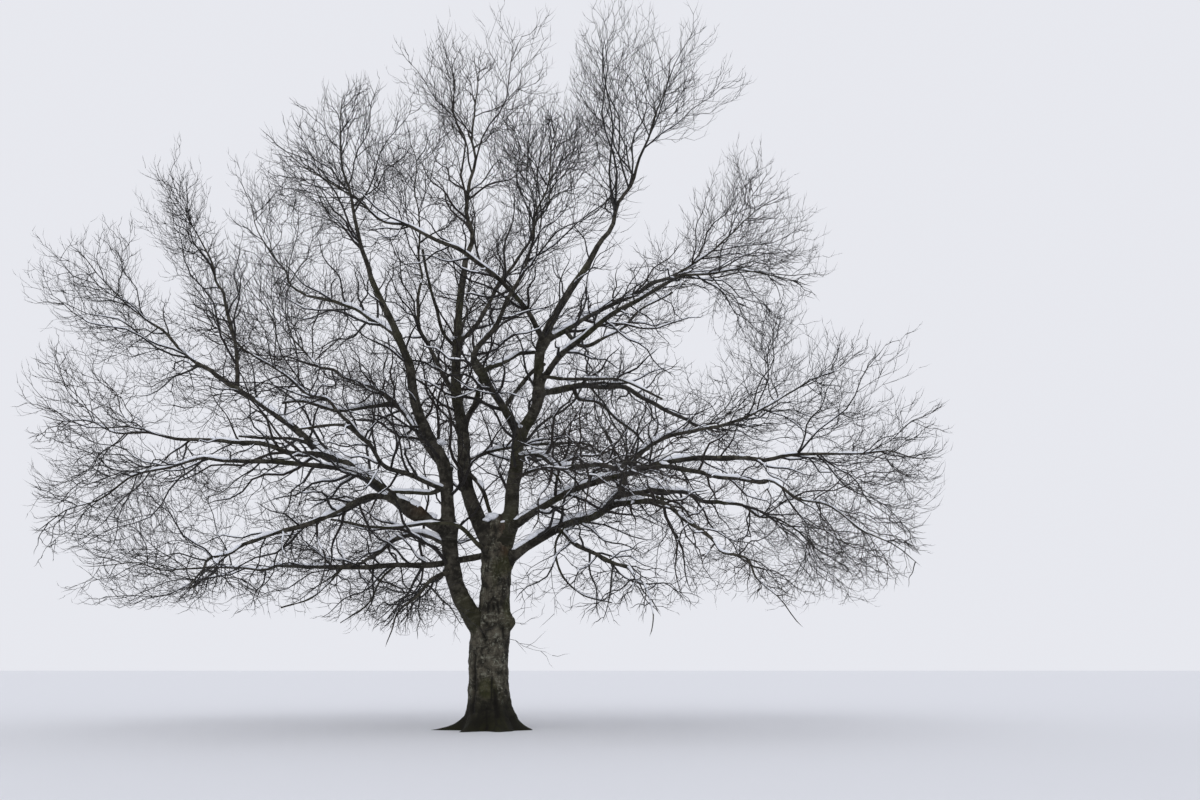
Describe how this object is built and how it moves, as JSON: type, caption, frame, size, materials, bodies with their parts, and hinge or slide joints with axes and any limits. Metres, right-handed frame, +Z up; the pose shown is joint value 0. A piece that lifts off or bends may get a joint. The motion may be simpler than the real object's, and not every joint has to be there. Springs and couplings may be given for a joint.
{
  "type": "bare winter tree",
  "caption": "Old broad-crowned tree in winter, bare of leaves, with a short flared trunk that forks low into rising stems and wide, drooping boughs.",
  "frame": {"origin": "middle of the flat cut under the trunk, at ground level", "axes": "+Z up, +X to the right and +Y away from the picture's camera"},
  "size_m": [23.985, 18.1286, 19.0027],
  "materials": {
    "bark": "matte",
    "limb_bark": "matte",
    "twig_bark": "matte",
    "snow": "matte"
  },
  "bodies": {
    "root": {"trunk": "bark", "leftStem_bough": "limb_bark", "centreStem_bough": "limb_bark", "rightStem_bough": "limb_bark", "crossLeft_bough": "limb_bark", "rightUpper_bough": "limb_bark", "rightArch_bough": "limb_bark", "rightBack_bough": "limb_bark", "rightFront_bough": "limb_bark", "rightLow_bough": "limb_bark", "rightBow_bough": "limb_bark", "rightDroop_bough": "limb_bark", "frontDroop_bough": "limb_bark", "rightFar_bough": "limb_bark", "rightOut_bough": "limb_bark", "bigLeft_bough": "limb_bark", "leftRise_bough": "limb_bark", "leftFar_bough": "limb_bark", "leftLow_bough": "limb_bark", "leftFront_bough": "limb_bark", "leftBack_bough": "limb_bark", "leftFlat_bough": "limb_bark", "leftMid_bough": "limb_bark", "leftUp_bough": "limb_bark", "leftOver_bough": "limb_bark", "centreLeft_bough": "limb_bark", "centreBack_bough": "limb_bark", "centreRight_bough": "limb_bark", "centreFront_bough": "limb_bark", "rightRear_bough": "limb_bark", "leftStem_twigs": "twig_bark", "centreStem_twigs": "twig_bark", "rightStem_twigs": "twig_bark", "crossLeft_twigs": "twig_bark", "rightUpper_twigs": "twig_bark", "rightArch_twigs": "twig_bark", "rightBack_twigs": "twig_bark", "rightFront_twigs": "twig_bark", "rightLow_twigs": "twig_bark", "rightBow_twigs": "twig_bark", "rightDroop_twigs": "twig_bark", "frontDroop_twigs": "twig_bark", "rightFar_twigs": "twig_bark", "rightOut_twigs": "twig_bark", "bigLeft_twigs": "twig_bark", "leftRise_twigs": "twig_bark", "leftFar_twigs": "twig_bark", "leftLow_twigs": "twig_bark", "leftFront_twigs": "twig_bark", "leftBack_twigs": "twig_bark", "leftFlat_twigs": "twig_bark", "leftMid_twigs": "twig_bark", "leftUp_twigs": "twig_bark", "leftOver_twigs": "twig_bark", "centreLeft_twigs": "twig_bark", "centreBack_twigs": "twig_bark", "centreRight_twigs": "twig_bark", "centreFront_twigs": "twig_bark", "rightRear_twigs": "twig_bark", "low_twigs": "twig_bark"}
  },
  "joints": []
}
